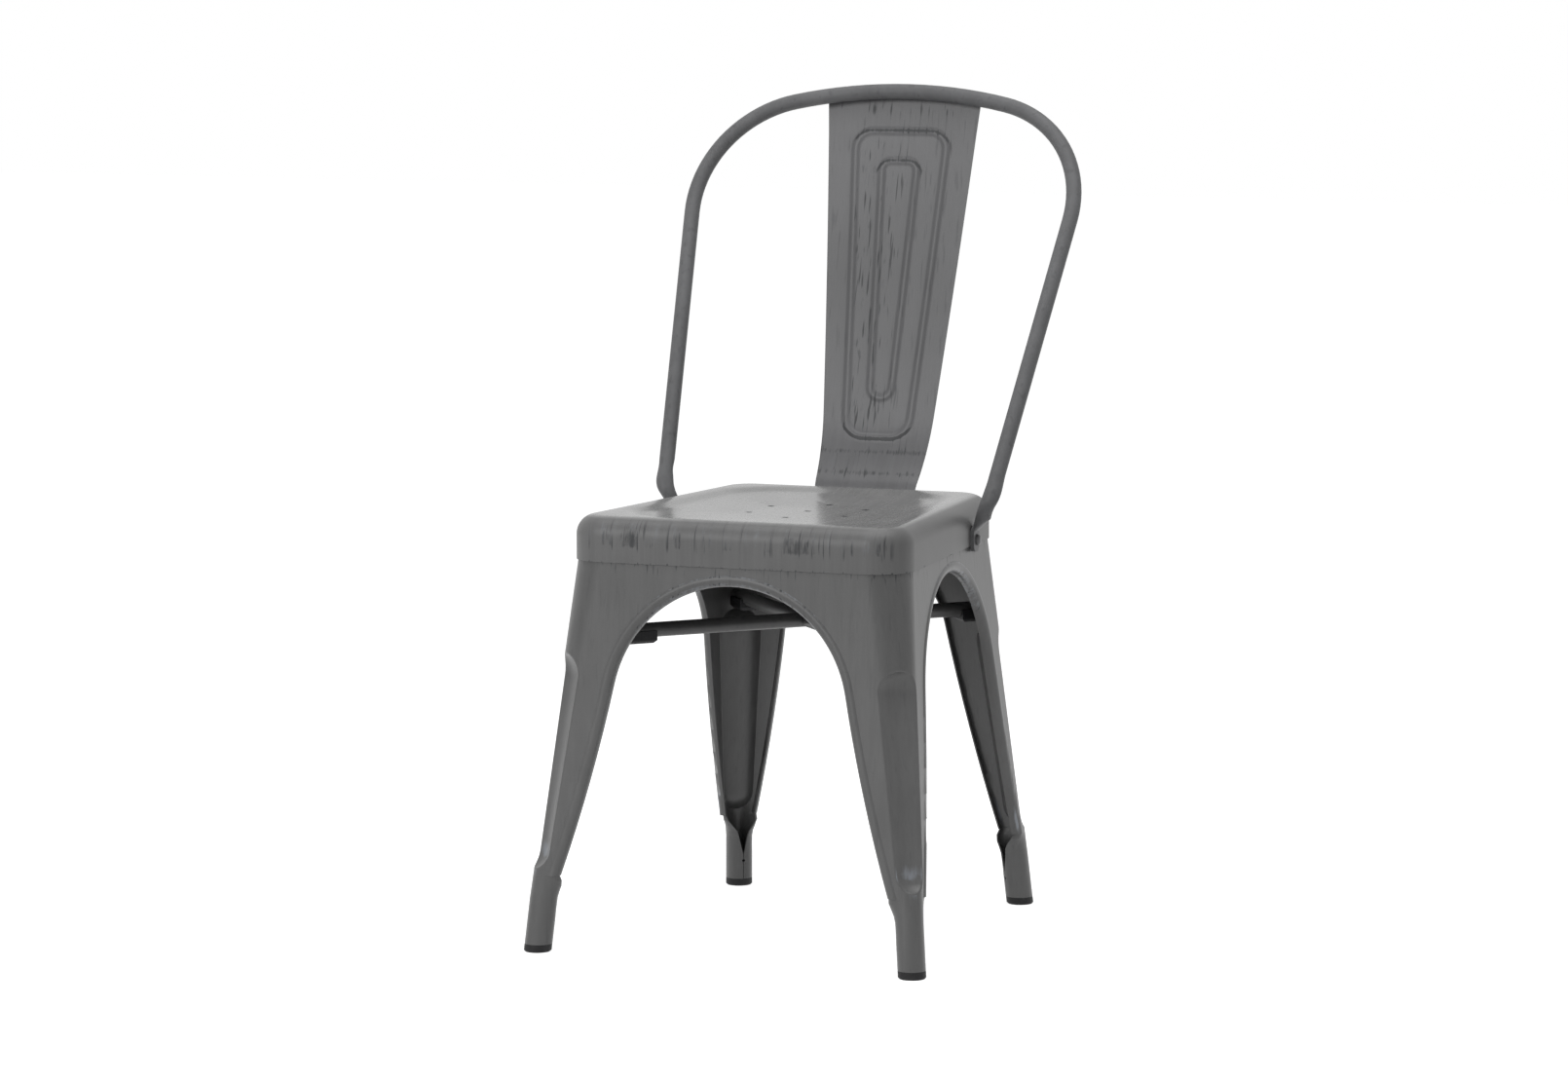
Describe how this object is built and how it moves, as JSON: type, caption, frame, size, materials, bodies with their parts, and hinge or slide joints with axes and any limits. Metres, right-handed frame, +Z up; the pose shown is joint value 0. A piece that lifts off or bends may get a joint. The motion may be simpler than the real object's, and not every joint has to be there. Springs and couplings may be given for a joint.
{
  "type": "metal dining chair",
  "caption": "Pressed-steel dining chair with a dished seat, arched and fluted sheet legs, a bent tube back hoop and an embossed splat.",
  "frame": {"origin": "on the floor, under the middle of the chair's bounding box", "axes": "+Z up, the chair faces -Y, +X to the sitter's left"},
  "size_m": [0.4386, 0.5238, 0.8499],
  "materials": {
    "grey_steel": "satin",
    "brace_steel": "satin",
    "fastener_steel": "satin",
    "black_plastic": "matte"
  },
  "bodies": {
    "root": {"seat_pan": "grey_steel", "front_left_leg": "grey_steel", "front_right_leg": "grey_steel", "rear_left_leg": "grey_steel", "rear_right_leg": "grey_steel", "back_hoop": "grey_steel", "back_splat": "grey_steel", "left_brace_tube": "brace_steel", "right_brace_tube": "brace_steel", "left_hoop_bolt": "fastener_steel", "right_hoop_bolt": "fastener_steel", "left_hoop_nut": "fastener_steel", "right_hoop_nut": "fastener_steel", "hoop_washers": "fastener_steel", "splat_bolts": "fastener_steel", "splat_washers": "fastener_steel", "splat_nuts": "fastener_steel", "front_left_buffer": "black_plastic", "front_right_buffer": "black_plastic", "rear_left_buffer": "black_plastic", "rear_right_buffer": "black_plastic", "front_left_foot": "black_plastic", "front_right_foot": "black_plastic", "rear_left_foot": "black_plastic", "rear_right_foot": "black_plastic"}
  },
  "joints": []
}
